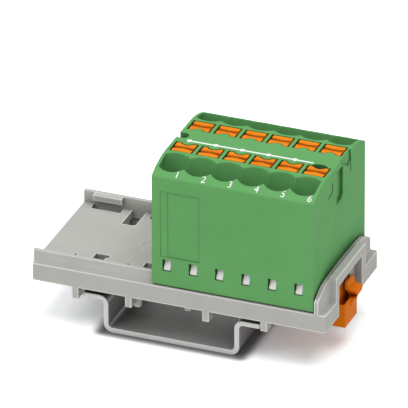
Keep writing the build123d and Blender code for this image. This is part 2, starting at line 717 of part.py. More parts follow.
def end_coupling():
    """The groove, the relief behind it and the two slits on the right end of the housing."""
    front, rear = COUPLING_Y
    top = BLOCK_TOP - COUPLING_DROP
    low = top - COUPLING_HEIGHT
    groove = Polyline(
        (front, top),
        (rear, top),
        (rear, low + COUPLING_TAPER),
        (rear - COUPLING_TAPER, low),
        (front, low),
        close=True,
    )
    upper, lower = [BLOCK_TOP - drop for drop in RELIEF_DROP]
    relief = Polyline(
        (RELIEF_Y[0], BLOCK_TOP + 1),
        (RELIEF_Y[0], upper),
        (RELIEF_Y[1] - RELIEF_FOOT, lower),
        (RELIEF_Y[1], lower + RELIEF_FOOT),
        (RELIEF_Y[1], BLOCK_TOP + 1),
        close=True,
    )
    rear_slit = Polyline(*[(REAR_SLIT_Y, BLOCK_TOP - drop) for drop in REAR_SLIT_DROP])
    bend, tip = FRONT_SLIT_Y
    slit_z = [BLOCK_TOP - drop for drop in FRONT_SLIT_DROP]
    front_slit = Polyline((bend, slit_z[0]), (bend, slit_z[1]), (tip, slit_z[2]))
    outside = BLOCK_RIGHT + 1
    cuts = [along_x(trace(line, line_width=SLIT), BLOCK_RIGHT - SLIT_DEPTH, outside) for line in (rear_slit, front_slit)]
    cuts.append(along_x(make_face(groove), BLOCK_RIGHT - COUPLING_DEPTH, outside))
    cuts.append(along_x(make_face(relief), BLOCK_RIGHT - RELIEF_DEPTH, outside))
    return cuts


def block_housing():
    body = crowned_block()
    body -= base_cavity()
    for cut in (chamber, wire_entry, button_pocket, test_window):
        body -= [both_sides(cut(x)) for x in POLE_X]
    return body - [edge_recess(), top_recess(), label_field()] - end_coupling()


# Block base
def block_base():
    x = (BLOCK_LEFT + END_SHELL + SEAT_GAP, BLOCK_RIGHT - END_SHELL - SEAT_GAP)
    edge = LIP_INNER - SEAT_GAP
    shoulder = edge - CATCH_REACH - SEAT_GAP
    plate = slab(x, (-edge, edge), (BASE_BOTTOM, CATCH_Z - SEAT_GAP))
    plate += slab(x, (-shoulder, shoulder), (BASE_BOTTOM, BASE_TOP))
    under_block = [place for place in front_hole_places() if place - FRONT_HOLE[0] / 2 > x[0]]
    return plate + [snap_foot(place) for place in under_block[::2]]


def snap_foot(x):
    wide, deep = FRONT_HOLE
    rear = FRONT_HOLE_Y + deep / 2 - SEAT_GAP
    step_x = FRONT_HOLE_STEP[0]
    bottom = DECK_UNDERSIDE - 1.6
    low = FRONT_HOLE_Y - deep / 2
    outline = Polyline(
        (rear, BASE_BOTTOM + 0.1),
        (rear, bottom),
        (rear - 0.7, bottom),
        (low - 0.35, DECK_UNDERSIDE - 0.6),
        (low - 0.35, DECK_UNDERSIDE - SEAT_GAP),
        (low + SEAT_GAP, DECK_UNDERSIDE - SEAT_GAP),
        (low + SEAT_GAP, BASE_BOTTOM + 0.1),
        close=True,
    )
    left = x - wide / 2 + SEAT_GAP
    right = x + wide / 2 - step_x - SEAT_GAP
    return along_x(make_face(outline), left, right)


# Busbar
def busbar():
    outline = Polyline(
        (-CONTACT_OUTER, WEB_BOTTOM),
        (CONTACT_OUTER, WEB_BOTTOM),
        (CONTACT_OUTER, WEB_TOP + CONTACT_HEIGHT),
        (CONTACT_INNER, WEB_TOP + CONTACT_HEIGHT - COPPER / 2),
        (CONTACT_INNER, WEB_TOP),
        (-CONTACT_INNER, WEB_TOP),
        (-CONTACT_INNER, WEB_TOP + CONTACT_HEIGHT - COPPER / 2),
        (-CONTACT_OUTER, WEB_TOP + CONTACT_HEIGHT),
        close=True,
    )
    face = make_face(outline)
    face = fillet(face.vertices().filter_by(lambda v: abs(v.Y - WEB_BOTTOM) < 0.01), COPPER)
    body = slab((POLE_X[0], POLE_X[-1]), (-BUSBAR_BRIDGE / 2, BUSBAR_BRIDGE / 2), (WEB_BOTTOM, WEB_TOP))
    for x in POLE_X:
        body += along_x(face, x - BUSBAR_X / 2, x + BUSBAR_X / 2)
        body += both_sides(test_lug(x))
    return body


def test_lug(x):
    """The tongue pressed out of a contact, which leans out into its test window."""
    low = BLOCK_BOTTOM + WINDOW_LIFT + SEAT_GAP
    top = BLOCK_BOTTOM + WINDOW_LIFT + WINDOW_HEIGHT + LUG_RISE
    tip = HALF_BLOCK - LUG_FROM_EDGE
    outline = Polyline(
        (-CONTACT_OUTER + 0.1, top),
        (-CONTACT_OUTER, top),
        (-tip, low + LUG_STRIP),
        (-tip, low + SEAT_GAP),
        (-tip + LUG_STRIP, low),
        (-CONTACT_OUTER + 0.1, top - 2 * LUG_STRIP),
        close=True,
    )
    return along_x(make_face(outline), x - LUG_WIDTH / 2, x + LUG_WIDTH / 2)


# Clamp spring of a front pole, before it is moved to its pole
def clamp_spring():
    path = FilletPolyline(
        (-SPRING_BACK_Y, WEB_TOP + SEAT_GAP),
        (-SPRING_BACK_Y, SPRING_PEAK_Z),
        (-SPRING_TIP_Y, SPRING_TIP_Z),
        radius=SPRING_BOW,
    )
    strip = trace(path, line_width=SPRING_STRIP)
    return along_x(strip, -SPRING_WIDTH / 2, SPRING_WIDTH / 2)


def leg_height(y):
    """Height of the clamping leg's upper face at a place along Y."""
    run = SPRING_TIP_Y - SPRING_BACK_Y
    rise = SPRING_PEAK_Z - SPRING_TIP_Z
    slope = rise / run
    upper = SPRING_STRIP / 2 * math.hypot(1, slope)
    return SPRING_PEAK_Z + (y + SPRING_BACK_Y) * slope + upper


# Button of a front pole, before it is moved to its pole
def push_button():
    front = -BUTTON_CENTRE_Y - BUTTON_Y / 2
    rear = -BUTTON_CENTRE_Y + BUTTON_Y / 2
    x = (-BUTTON_X / 2, BUTTON_X / 2)
    body_bottom = BUTTON_TOP - BUTTON_BODY_DEPTH - BUTTON_HEEL_HEIGHT
    body = slab(x, (front, rear), (body_bottom, BUTTON_TOP))
    body = fillet(body.edges().filter_by(Axis.Z), BUTTON_CORNER)
    body += slab(x, (rear - 0.5, rear + BUTTON_HEEL), (HEEL_TOP - BUTTON_HEEL_HEIGHT, HEEL_TOP))
    foot_rear = front + BUTTON_FOOT_Y
    outline = Polyline(
        (front, body_bottom + 0.5),
        (front, leg_height(front) + PRESS_GAP),
        (foot_rear, leg_height(foot_rear) + PRESS_GAP),
        (foot_rear, body_bottom + 0.5),
        close=True,
    )
    body += along_x(make_face(outline), -BUTTON_FOOT_X / 2, BUTTON_FOOT_X / 2)
    return body - thumb_notch() - tool_groove((front + rear) / 2)


def thumb_notch():
    centre, radius = notch_circle()
    return Pos(0, centre, BUTTON_TOP) * Cylinder(radius, 2 * BUTTON_HEEL_DEPTH)


def tool_groove(y):
    """A V groove across the top, whose two arms run down and away from the notch to the sides."""
    outline = Polyline(
        (-GROOVE_HALF_WIDTH, GROOVE_DEPTH),
        (0, -GROOVE_DEPTH),
        (GROOVE_HALF_WIDTH, GROOVE_DEPTH),
        close=True,
    )
    arm = Rot(0, GROOVE_FALL, GROOVE_TURN) * along_x(make_face(outline), -0.1, BUTTON_X)
    return Pos(0, y, BUTTON_TOP) * (arm + mirror(arm, about=Plane.YZ))


def every_pole(name, front_piece):
    """Copies of a front piece at each pole, and of its mirror image in the back row."""
    back_piece = mirror(front_piece, about=Plane.XZ)
    rows = {"front": front_piece, "back": back_piece}
    return {
        f"{name}_{row}_{i + 1}": Pos(x, 0, 0) * piece
        for row, piece in rows.items()
        for i, x in enumerate(POLE_X)
    }


pieces = {
    "rail_section": rail_section(),
    "rail_adapter": rail_adapter(),
    "release_latch": release_latch(),
    "latch_spring": latch_spring(),
    "block_housing": block_housing(),
    "block_base": block_base(),
    "busbar": busbar(),
}
pieces.update(every_pole("push_button", push_button()))
pieces.update(every_pole("clamp_spring", clamp_spring()))

os.makedirs("parts", exist_ok=True)
for name, piece in pieces.items():
    export_step(piece, f"parts/{name}.step")
    print(name, round(piece.volume, 2))
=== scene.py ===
import math

import bmesh
import bpy
from mathutils import Matrix, Vector
from mathutils.bvhtree import BVHTree


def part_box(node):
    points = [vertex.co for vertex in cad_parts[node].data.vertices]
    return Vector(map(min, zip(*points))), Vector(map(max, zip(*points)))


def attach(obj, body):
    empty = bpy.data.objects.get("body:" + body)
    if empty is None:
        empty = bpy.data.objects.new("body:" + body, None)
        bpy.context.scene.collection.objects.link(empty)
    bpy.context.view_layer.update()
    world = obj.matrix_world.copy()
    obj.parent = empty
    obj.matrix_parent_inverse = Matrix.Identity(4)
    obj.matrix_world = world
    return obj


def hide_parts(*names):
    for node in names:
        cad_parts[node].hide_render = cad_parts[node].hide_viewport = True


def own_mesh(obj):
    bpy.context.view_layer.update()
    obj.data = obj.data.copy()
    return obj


MM = 0.001

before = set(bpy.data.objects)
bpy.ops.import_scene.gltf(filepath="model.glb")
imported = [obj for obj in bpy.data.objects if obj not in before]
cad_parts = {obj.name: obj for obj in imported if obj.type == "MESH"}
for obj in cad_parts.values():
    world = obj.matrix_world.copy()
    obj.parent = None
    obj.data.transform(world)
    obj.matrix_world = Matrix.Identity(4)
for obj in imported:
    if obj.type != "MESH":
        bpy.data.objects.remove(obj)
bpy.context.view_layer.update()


# Camera
# A long lens looks down on the front and the right end of the block, from 1.8 m away.
# The image is 408 pixels wide and 408 high, and the lens is stated for a 36 mm sensor.
IMAGE_WIDTH = 408
CAMERA_AZIMUTH = math.radians(21.41)
CAMERA_ELEVATION = math.radians(28.08)
CAMERA_ROLL = math.radians(-0.19)
CAMERA_DISTANCE = 1809.9 * MM
CAMERA_TARGET = Vector((1.67, 0.97, 23.37)) * MM
CAMERA_FAR = 100
FOCAL_PIXELS = 9775
SENSOR_WIDTH = 36

towards_camera = Vector((
    math.sin(CAMERA_AZIMUTH) * math.cos(CAMERA_ELEVATION),
    -math.cos(CAMERA_AZIMUTH) * math.cos(CAMERA_ELEVATION),
    math.sin(CAMERA_ELEVATION),
))
camera_data = bpy.data.cameras.new("camera")
camera_data.sensor_width = SENSOR_WIDTH
camera_data.lens = FOCAL_PIXELS * SENSOR_WIDTH / IMAGE_WIDTH
camera_data.clip_end = CAMERA_FAR
camera = bpy.data.objects.new("camera", camera_data)
camera_turn = (-towards_camera).to_track_quat("-Z", "Y").to_matrix().to_4x4()
camera.matrix_world = (
    Matrix.Translation(CAMERA_TARGET + CAMERA_DISTANCE * towards_camera)
    @ camera_turn
    @ Matrix.Rotation(CAMERA_ROLL, 4, "Z")
)
bpy.context.scene.collection.objects.link(camera)
bpy.context.scene.camera = camera


# Studio: floor, world and lamps
# White paper, a large soft lamp overhead, a weaker one in front and a white tent's even light.
# The camera sees paper and tent as white. The paper keeps the object's shadow, and a painted
# contact shadow darkens it round the rail's foot. It lies a hair below the rail. It is clear from
# below, which shows the object's underside.
FLOOR_SIZE = 4.0
PAPER_DROP = 0.01 * MM
FLOOR_WHITE = (0.93, 0.93, 0.93, 1)
FLOOR_ROUGHNESS = 0.9
WHITE = (1, 1, 1, 1)
FLOOR_SEEN = (1.30, 1.32, 1.34)
FLOOR_CONTACT_SHADOW = (0.15, 0.15, 0.15)
FLOOR_GLOW = 0.12
CONTACT_SHADOW_REACH = 3.2 * MM
HAT_HALF_WIDTH = 13.5 * MM
TENT_LIGHT = 0.43
LAMPS = (
    # name, place, size and power of each lamp, all aimed at the block
    ("top_lamp", Vector((0.26, -0.20, 1.30)), 1.1, 11.6),
    ("front_lamp", Vector((-0.75, -0.70, 1.15)), 0.8, 6.5),
)
AIM = Vector((0.002, 0.0, 0.02))

scene = bpy.context.scene
scene.view_settings.view_transform = "Standard"


def seen_by_eye(tree):
    """One for rays that come from the camera, a reflection or a clear material, else nought."""
    ray = tree.nodes.new("ShaderNodeLightPath")
    seen = ray.outputs["Is Camera Ray"]
    for kind in ("Is Glossy Ray", "Is Transmission Ray"):
        either = tree.nodes.new("ShaderNodeMath")
        either.operation = "MAXIMUM"
        tree.links.new(seen, either.inputs[0])
        tree.links.new(ray.outputs[kind], either.inputs[1])
        seen = either.outputs["Value"]
    return seen


bpy.ops.mesh.primitive_plane_add(size=FLOOR_SIZE, location=(0, 0, -PAPER_DROP))
floor = bpy.context.object
floor.name = "floor"
paper = bpy.data.materials.new("white_paper")
paper.use_nodes = True
paper_tree = paper.node_tree
paper_shader = paper_tree.nodes["Principled BSDF"]
paper_shader.inputs["Base Color"].default_value = FLOOR_WHITE
paper_shader.inputs["Roughness"].default_value = FLOOR_ROUGHNESS
paper_shader.inputs["Specular IOR Level"].default_value = 0.0
_, rail_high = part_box("rail_section")
# Painted contact shadow: the paper is darker towards the rail's foot, within the reach.
paper_place = paper_tree.nodes.new("ShaderNodeTexCoord")
paper_spot = paper_place.outputs["Object"]
for step, amount in (
    ("ABSOLUTE", None),
    ("SUBTRACT", (HAT_HALF_WIDTH, rail_high[1], 0)),
    ("MAXIMUM", (0, 0, 0)),
    ("LENGTH", None),
):
    paper_step = paper_tree.nodes.new("ShaderNodeVectorMath")
    paper_step.operation = step
    paper_tree.links.new(paper_spot, paper_step.inputs[0])
    if amount:
        paper_step.inputs[1].default_value = amount
    paper_spot = paper_step.outputs["Value" if step == "LENGTH" else "Vector"]
paper_contact_shadow = paper_tree.nodes.new("ShaderNodeMapRange")
paper_contact_shadow.data_type = "FLOAT_VECTOR"
paper_contact_shadow.interpolation_type = "SMOOTHERSTEP"
paper_contact_shadow.inputs["From Max"].default_value[:] = (CONTACT_SHADOW_REACH,) * 3
paper_contact_shadow.inputs["To Min"].default_value[:] = FLOOR_CONTACT_SHADOW
paper_contact_shadow.inputs["To Max"].default_value[:] = FLOOR_SEEN
paper_tree.links.new(paper_spot, paper_contact_shadow.inputs["Vector"])
paper_seen = paper_tree.nodes.new("ShaderNodeBsdfDiffuse")
paper_tree.links.new(paper_contact_shadow.outputs["Vector"], paper_seen.inputs["Color"])
paper_glow = paper_tree.nodes.new("ShaderNodeEmission")
paper_glow.inputs["Strength"].default_value = FLOOR_GLOW
paper_tree.links.new(paper_contact_shadow.outputs["Vector"], paper_glow.inputs["Color"])
paper_bright = paper_tree.nodes.new("ShaderNodeAddShader")
paper_tree.links.new(paper_seen.outputs["BSDF"], paper_bright.inputs[0])
paper_tree.links.new(paper_glow.outputs["Emission"], paper_bright.inputs[1])
paper_mix = paper_tree.nodes.new("ShaderNodeMixShader")
paper_tree.links.new(seen_by_eye(paper_tree), paper_mix.inputs["Fac"])
paper_tree.links.new(paper_shader.outputs["BSDF"], paper_mix.inputs[1])
paper_tree.links.new(paper_bright.outputs["Shader"], paper_mix.inputs[2])
paper_side = paper_tree.nodes.new("ShaderNodeNewGeometry")
paper_clear = paper_tree.nodes.new("ShaderNodeBsdfTransparent")
paper_faced = paper_tree.nodes.new("ShaderNodeMixShader")
paper_tree.links.new(paper_side.outputs["Backfacing"], paper_faced.inputs["Fac"])
paper_tree.links.new(paper_mix.outputs["Shader"], paper_faced.inputs[1])
paper_tree.links.new(paper_clear.outputs["BSDF"], paper_faced.inputs[2])
paper_output = paper_tree.nodes["Material Output"]
paper_tree.links.new(paper_faced.outputs["Shader"], paper_output.inputs["Surface"])
floor.data.materials.append(paper)

tent = bpy.data.worlds.new("tent")
scene.world = tent
tent.use_nodes = True
tent_tree = tent.node_tree
tent_even = tent_tree.nodes["Background"]
tent_even.inputs["Strength"].default_value = TENT_LIGHT
seen_white = tent_tree.nodes.new("ShaderNodeBackground")
for background in (tent_even, seen_white):
    background.inputs["Color"].default_value = WHITE
tent_mix = tent_tree.nodes.new("ShaderNodeMixShader")
tent_tree.links.new(seen_by_eye(tent_tree), tent_mix.inputs["Fac"])
tent_tree.links.new(tent_even.outputs["Background"], tent_mix.inputs[1])
tent_tree.links.new(seen_white.outputs["Background"], tent_mix.inputs[2])
tent_output = tent_tree.nodes["World Output"]
tent_tree.links.new(tent_mix.outputs["Shader"], tent_output.inputs["Surface"])

for name, place, size, power in LAMPS:
    lamp_data = bpy.data.lights.new(name, "AREA")
    lamp_data.shape = "DISK"
    lamp_data.size = size
    lamp_data.energy = power
    lamp = bpy.data.objects.new(name, lamp_data)
    lamp.matrix_world = (
        Matrix.Translation(place) @ (AIM - place).to_track_quat("-Z", "Y").to_matrix().to_4x4()
    )
    scene.collection.objects.link(lamp)


# Rail
# A short length of 35 mm top hat rail, roll-formed from 1 mm steel and bright galvanised.
# The object stands on it. Its sheared ends show the bare edge of the sheet, and its rounded
# outer edges take the same lighter colour as a painted highlight.
RAIL_EDGE = 0.14 * MM
EDGE_STEPS = 2
SHARP = math.radians(32)
FLAT = math.radians(1.0)
JOINED = 0.002 * MM
HOLLOW_SAMPLES = 8
ZINC = (0.46, 0.46, 0.45, 1)
ZINC_DARK = (0.41, 0.41, 0.405, 1)
ZINC_METAL = 0.4
ZINC_REACH = 9.0 * MM
ZINC_ROUGHNESS = (0.32, 0.5)
SPANGLE = 3.0 * MM
DRAW_LINE = 0.15 * MM
DRAW_STRETCH = (1, 0.04, 1)
DRAW_RELIEF = 0.002 * MM
DRAW_STRENGTH = 0.6
SHEARED_AND_HIGHLIGHT = (0.60, 0.60, 0.585, 1)
SHEARED_METAL = 0.2
END_FACING = 0.9


def soft_edged(node, radius, body, material, edge_highlight=None):
    """A copy of one CAD node with its sharp edges rounded off, which stands in for it.

    Where an edge highlight material is given, only the outer edges are rounded, and they take it as
    a painted highlight.
    """
    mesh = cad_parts[node].data.copy()
    shell = bmesh.new()
    shell.from_mesh(mesh)
    bmesh.ops.remove_doubles(shell, verts=shell.verts, dist=JOINED)
    bmesh.ops.dissolve_degenerate(shell, edges=shell.edges, dist=JOINED)
    bmesh.ops.dissolve_limit(shell, angle_limit=FLAT, verts=shell.verts, edges=shell.edges)
    rounded = shell.edges.layers.float.new("bevel_weight_edge")
    for edge in shell.edges:
        sharp = edge.is_manifold and edge.calc_face_angle() > SHARP
        edge[rounded] = float(sharp and (edge_highlight is None or edge.is_convex))
    shell.to_mesh(mesh)
    shell.free()
    mesh.materials.clear()
    mesh.materials.append(material)
    piece = bpy.data.objects.new(node + "_finish", mesh)
    scene.collection.objects.link(piece)
    mesh.shade_smooth()
    mesh.set_sharp_from_angle(angle=SHARP)
    bevel = piece.modifiers.new("edge_round", "BEVEL")
    bevel.width = radius
    bevel.segments = EDGE_STEPS
    bevel.limit_method = "WEIGHT"
    if edge_highlight:
        mesh.materials.append(edge_highlight)
        bevel.material = 1
    bevel.harden_normals = True
    bevel.use_clamp_overlap = True
    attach(piece, body)
    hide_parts(node)
    return piece


galvanised = bpy.data.materials.new("bright_galvanised_steel")
galvanised.use_nodes = True
zinc_nodes = galvanised.node_tree.nodes
zinc_links = galvanised.node_tree.links
zinc = zinc_nodes["Principled BSDF"]
zinc.inputs["Metallic"].default_value = ZINC_METAL
zinc_place = zinc_nodes.new("ShaderNodeTexCoord")
spangles = zinc_nodes.new("ShaderNodeTexVoronoi")
spangles.inputs["Scale"].default_value = 1 / SPANGLE
zinc_links.new(zinc_place.outputs["Object"], spangles.inputs["Vector"])
zinc_tone = zinc_nodes.new("ShaderNodeMix")
zinc_tone.data_type = "RGBA"
zinc_tone.inputs["A"].default_value = ZINC_DARK
zinc_tone.inputs["B"].default_value = ZINC
zinc_links.new(spangles.outputs["Color"], zinc_tone.inputs["Factor"])
# Painted shade: ambient occlusion darkens the zinc's colour inside the hat and under the flanges.
zinc_hollow = zinc_nodes.new("ShaderNodeAmbientOcclusion")
zinc_hollow.samples = HOLLOW_SAMPLES
zinc_hollow.inputs["Distance"].default_value = ZINC_REACH
zinc_links.new(zinc_tone.outputs["Result"], zinc_hollow.inputs["Color"])
zinc_links.new(zinc_hollow.outputs["Color"], zinc.inputs["Base Color"])
drawn = zinc_nodes.new("ShaderNodeMapping")
drawn.inputs["Scale"].default_value = DRAW_STRETCH
zinc_links.new(zinc_place.outputs["Object"], drawn.inputs["Vector"])
draw_lines = zinc_nodes.new("ShaderNodeTexNoise")
draw_lines.inputs["Scale"].default_value = 1 / DRAW_LINE
zinc_links.new(drawn.outputs["Vector"], draw_lines.inputs["Vector"])
zinc_rough = zinc_nodes.new("ShaderNodeMapRange")
zinc_rough.inputs["To Min"].default_value = ZINC_ROUGHNESS[0]
zinc_rough.inputs["To Max"].default_value = ZINC_ROUGHNESS[1]
zinc_links.new(draw_lines.outputs["Fac"], zinc_rough.inputs["Value"])
zinc_links.new(zinc_rough.outputs["Result"], zinc.inputs["Roughness"])
zinc_bump = zinc_nodes.new("ShaderNodeBump")
zinc_bump.inputs["Distance"].default_value = DRAW_RELIEF
zinc_bump.inputs["Strength"].default_value = DRAW_STRENGTH
zinc_links.new(draw_lines.outputs["Fac"], zinc_bump.inputs["Height"])
zinc_links.new(zinc_bump.outputs["Normal"], zinc.inputs["Normal"])

# The sheared ends take this lighter bare-steel copy, and the rail's rounded outer edges take it as a
# painted highlight. Its ambient occlusion adds a little painted shade.
bare_end_and_highlight = galvanised.copy()
bare_end_and_highlight.name = "sheared_end_and_edge_highlight"
sheared_mix = bare_end_and_highlight.node_tree.nodes[zinc_tone.name]
sheared_mix.inputs["A"].default_value = SHEARED_AND_HIGHLIGHT
sheared_mix.inputs["B"].default_value = SHEARED_AND_HIGHLIGHT
bare_end_and_highlight.node_tree.nodes[zinc.name].inputs["Metallic"].default_value = SHEARED_METAL
bare_end_and_highlight.node_tree.nodes[zinc_hollow.name].inputs["Distance"].default_value = RAIL_EDGE

rail = soft_edged("rail_section", RAIL_EDGE, "rail", galvanised, edge_highlight=bare_end_and_highlight)
for side in rail.data.polygons:
    if abs(side.normal.y) > END_FACING:
        side.material_index = 1


# Rail adapter
# The two-bay carrier is one light grey polyamide moulding with a fine eroded texture, and a
# painted highlight along its edges. It hooks round one flange of the rail, and the latch holds the
# other.
GREY = (0.455, 0.450, 0.425, 1)
GREY_DEEP = (0.437, 0.432, 0.408, 1)
GREY_EDGE_HIGHLIGHT = (0.74, 0.74, 0.72, 1)
ADAPTER_EDGE = 0.18 * MM
ADAPTER_GRAIN = 0.18 * MM
RIM_REACH = 0.3 * MM
RIM_RANGE = (0.6, 0.95)
PLASTIC_SPECULAR = 0.03
FLOW = 7 * MM
FLOW_DETAIL = 3
FLOW_RANGE = (0.35, 0.6)
GRAIN_DETAIL = 2
OPEN = 0.95
GLOSS_SPREAD = (-0.06, 0.08)
GRAIN_RELIEF = 0.004 * MM
GRAIN_STRENGTH = 0.5


def moulded_plastic(name, colour, deep_colour, grain, roughness, reach, shade, closed=0.15):
    """Polyamide as it leaves the tool: two close tones, an eroded grain and uneven gloss.

    Hollows narrower than the reach get painted shade from ambient occlusion, darker the more
    closed they are. A hollow as closed as the last value has the full painted shade.
    """
    material = bpy.data.materials.new(name)
    material.use_nodes = True
    nodes = material.node_tree.nodes
    links = material.node_tree.links
    plastic = nodes["Principled BSDF"]
    plastic.inputs["Specular IOR Level"].default_value = PLASTIC_SPECULAR
    place = nodes.new("ShaderNodeTexCoord")

    flow = nodes.new("ShaderNodeTexNoise")
    flow.inputs["Scale"].default_value = 1 / FLOW
    flow.inputs["Detail"].default_value = FLOW_DETAIL
    links.new(place.outputs["Object"], flow.inputs["Vector"])
    tone = nodes.new("ShaderNodeMix")
    tone.name = "tone"
    tone.data_type = "RGBA"
    tone.inputs["A"].default_value = deep_colour
    tone.inputs["B"].default_value = colour
    spread = nodes.new("ShaderNodeMapRange")
    spread.inputs["From Min"].default_value = FLOW_RANGE[0]
    spread.inputs["From Max"].default_value = FLOW_RANGE[1]
    links.new(flow.outputs["Fac"], spread.inputs["Value"])
    links.new(spread.outputs["Result"], tone.inputs["Factor"])
    # Painted shade: ambient occlusion darkens the colour in hollows.
    hollow = nodes.new("ShaderNodeAmbientOcclusion")
    hollow.samples = HOLLOW_SAMPLES
    hollow.inputs["Distance"].default_value = reach
    painted_hollow_shade = nodes.new("ShaderNodeMapRange")
    painted_hollow_shade.inputs["From Min"].default_value = closed
    painted_hollow_shade.inputs["From Max"].default_value = OPEN
    painted_hollow_shade.inputs["To Min"].default_value = shade
    links.new(hollow.outputs["AO"], painted_hollow_shade.inputs["Value"])
    shade_painted = nodes.new("ShaderNodeMix")
    shade_painted.name = "shade_painted"
    shade_painted.data_type = "RGBA"
    shade_painted.blend_type = "MULTIPLY"
    shade_painted.inputs["Factor"].default_value = 1.0
    links.new(tone.outputs["Result"], shade_painted.inputs["A"])
    links.new(painted_hollow_shade.outputs["Result"], shade_painted.inputs["B"])
    links.new(shade_painted.outputs["Result"], plastic.inputs["Base Color"])

    eroded = nodes.new("ShaderNodeTexNoise")
    eroded.inputs["Scale"].default_value = 1 / grain
    eroded.inputs["Detail"].default_value = GRAIN_DETAIL
    links.new(place.outputs["Object"], eroded.inputs["Vector"])
    gloss = nodes.new("ShaderNodeMapRange")
    gloss.inputs["To Min"].default_value = roughness + GLOSS_SPREAD[0]
    gloss.inputs["To Max"].default_value = roughness + GLOSS_SPREAD[1]
    links.new(eroded.outputs["Fac"], gloss.inputs["Value"])
    links.new(gloss.outputs["Result"], plastic.inputs["Roughness"])
    bump = nodes.new("ShaderNodeBump")
    bump.inputs["Distance"].default_value = GRAIN_RELIEF
    bump.inputs["Strength"].default_value = GRAIN_STRENGTH
    links.new(eroded.outputs["Fac"], bump.inputs["Height"])
    links.new(bump.outputs["Normal"], plastic.inputs["Normal"])
    return material


def painted_light_tone(material, colour, share):
    """Lays a second colour over a moulded plastic's tone, as far as a socket's value says, for a
    painted highlight or painted shade.
    """
    nodes = material.node_tree.nodes
    links = material.node_tree.links
    laid = nodes.new("ShaderNodeMix")
    laid.data_type = "RGBA"
    laid.inputs["B"].default_value = colour
    links.new(share, laid.inputs["Factor"])
    links.new(nodes["tone"].outputs["Result"], laid.inputs["A"])
    links.new(laid.outputs["Result"], nodes["shade_painted"].inputs["A"])


grey_polyamide = moulded_plastic(
    "grey_polyamide",
    GREY,
    GREY_DEEP,
    ADAPTER_GRAIN,
    roughness=0.55,
    reach=2.8 * MM,
    shade=0.45,
)
# Painted highlight: the rounded outer edges take this lighter copy of the grey.
grey_edge_highlight = moulded_plastic(
    "grey_polyamide_edge_highlight",
    GREY_EDGE_HIGHLIGHT,
    GREY_EDGE_HIGHLIGHT,
    ADAPTER_GRAIN,
    roughness=0.45,
    reach=0.6 * MM,
    shade=0.7,
)
# Painted highlight: an inside ambient occlusion finds the outer edges, and the lighter grey is laid
# there.
grey_nodes = grey_polyamide.node_tree.nodes
grey_rim = grey_nodes.new("ShaderNodeAmbientOcclusion")
grey_rim.inside = True
grey_rim.samples = HOLLOW_SAMPLES
grey_rim.inputs["Distance"].default_value = RIM_REACH
grey_edge_highlight_share = grey_nodes.new("ShaderNodeMapRange")
grey_edge_highlight_share.inputs["From Min"].default_value = RIM_RANGE[0]
grey_edge_highlight_share.inputs["From Max"].default_value = RIM_RANGE[1]
grey_edge_highlight_share.inputs["To Min"].default_value = 1.0
grey_edge_highlight_share.inputs["To Max"].default_value = 0.0
grey_polyamide.node_tree.links.new(grey_rim.outputs["AO"], grey_edge_highlight_share.inputs["Value"])
painted_light_tone(grey_polyamide, GREY_EDGE_HIGHLIGHT, grey_edge_highlight_share.outputs["Result"])
soft_edged("rail_adapter", ADAPTER_EDGE, "adapter", grey_polyamide, grey_edge_highlight)


# Release latch
# The orange slider with its finger tab is moulded in polyamide. It runs in the adapter's frame,
# where the leaf spring pushes its nose under the rail's flange.
# The latch's and the buttons' oranges are lit and shaded copies of one polyamide: this darker one is
# painted shade.
ORANGE = (0.70, 0.168, 0.006, 1)
ORANGE_DEEP = (0.67, 0.156, 0.005, 1)
ORANGE_GRAIN = 0.15 * MM
LATCH_EDGE = 0.12 * MM

orange_polyamide = moulded_plastic(
    "orange_polyamide",
    ORANGE,
    ORANGE_DEEP,
    ORANGE_GRAIN,
    roughness=0.5,
    reach=1.0 * MM,
    shade=0.6,
)
soft_edged("release_latch", LATCH_EDGE, "latch", orange_polyamide)


# Block housing and its base
# The green polyamide shell holds both rows of terminals. Its base snaps in from below, and
# the feet of the base hold the block in its bay.
GREEN = (0.127, 0.360, 0.121, 1)
GREEN_DEEP = (0.121, 0.346, 0.115, 1)
GREEN_GRAIN = 0.16 * MM
HOUSING_EDGE = 0.2 * MM

# Painted shade darkens the funnels, windows and pockets of the housing.
green_polyamide = moulded_plastic(
    "green_polyamide",
    GREEN,
    GREEN_DEEP,
    GREEN_GRAIN,
    roughness=0.55,
    reach=3.2 * MM,
    shade=0.32,
    closed=0.28,
)
soft_edged("block_housing", HOUSING_EDGE, "adapter", green_polyamide)
soft_edged("block_base", HOUSING_EDGE, "adapter", green_polyamide)


# Release buttons
# Twelve orange buttons, one over each clamp spring, each on a body of its own. A driver's
# blade pushes them down. A painted shade band darkens the middle of each, along its groove.
POLES = 6
BUTTON_EDGE = 0.14 * MM
# This lighter orange is the lit copy of the latch's polyamide, as painted light.
BUTTON_ORANGE = (0.82, 0.245, 0.010, 1)
BUTTON_ORANGE_DEEP = (0.76, 0.215, 0.008, 1)
BUTTON_PAINTED_SHADE = (0.46, 0.075, 0.004, 1)
BUTTON_HEEL = 0.3 * MM
BUTTON_HALF_DEPTH = 1.65 * MM
SHADE_BAND_REACH = 0.95 * MM
SHADE_BAND_SHARE = 0.75

button_low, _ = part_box("push_button_back_1")
button_row_y = button_low[1] + BUTTON_HEEL + BUTTON_HALF_DEPTH
